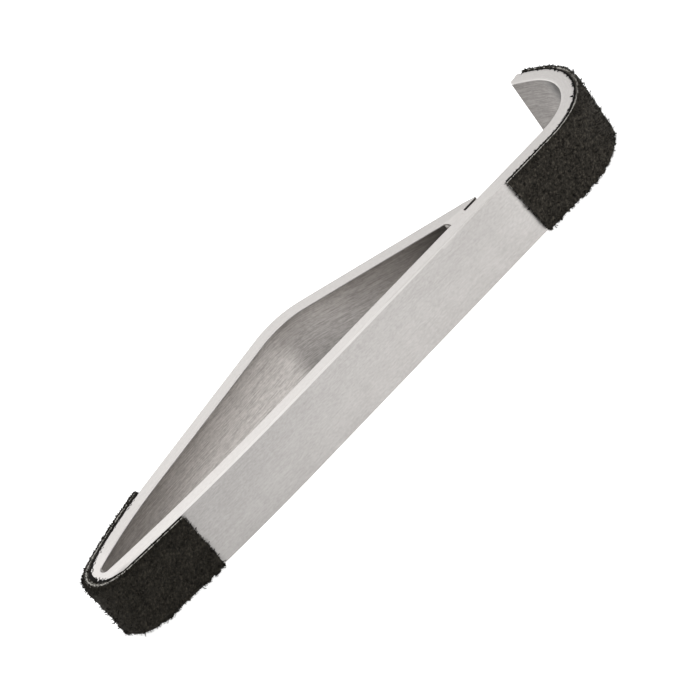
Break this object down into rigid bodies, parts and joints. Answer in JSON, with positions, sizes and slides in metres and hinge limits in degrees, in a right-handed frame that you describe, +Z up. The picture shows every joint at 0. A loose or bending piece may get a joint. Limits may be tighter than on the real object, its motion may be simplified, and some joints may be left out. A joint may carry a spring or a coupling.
{
  "type": "hive tool",
  "caption": "Bent flat-bar hive tool: a welded hand loop with a folded nose at one end and a curled J hook at the other, both faced with dark suede leather.",
  "frame": {"origin": "on the lower edge of the straight front bar, on the bar's middle line, straight under the crest corner of the hand loop, where the tool stands on a surface", "axes": "+X along the straight front bar towards the hook, +Y from the front bar towards the hand loop's crest, +Z up across the width of the bar"},
  "size_m": [0.2251, 0.0394, 0.0254],
  "materials": {
    "bar_steel": "bare flat bar, brushed along its length, with eased bright edges",
    "weld_steel": "dressed weld metal, brushed, a little duller than the bar",
    "suede": "napped black-brown suede, matte, with loose fibres at its cut edges",
    "glue": "black contact adhesive, matte, a little uneven at its edge"
  },
  "bodies": {
    "root": {"steel_bar": "bar_steel", "weld_bead": "weld_steel", "nose_pad_glue": "glue", "nose_pad": "suede", "hook_pad_glue": "glue", "hook_pad": "suede"}
  },
  "joints": []
}
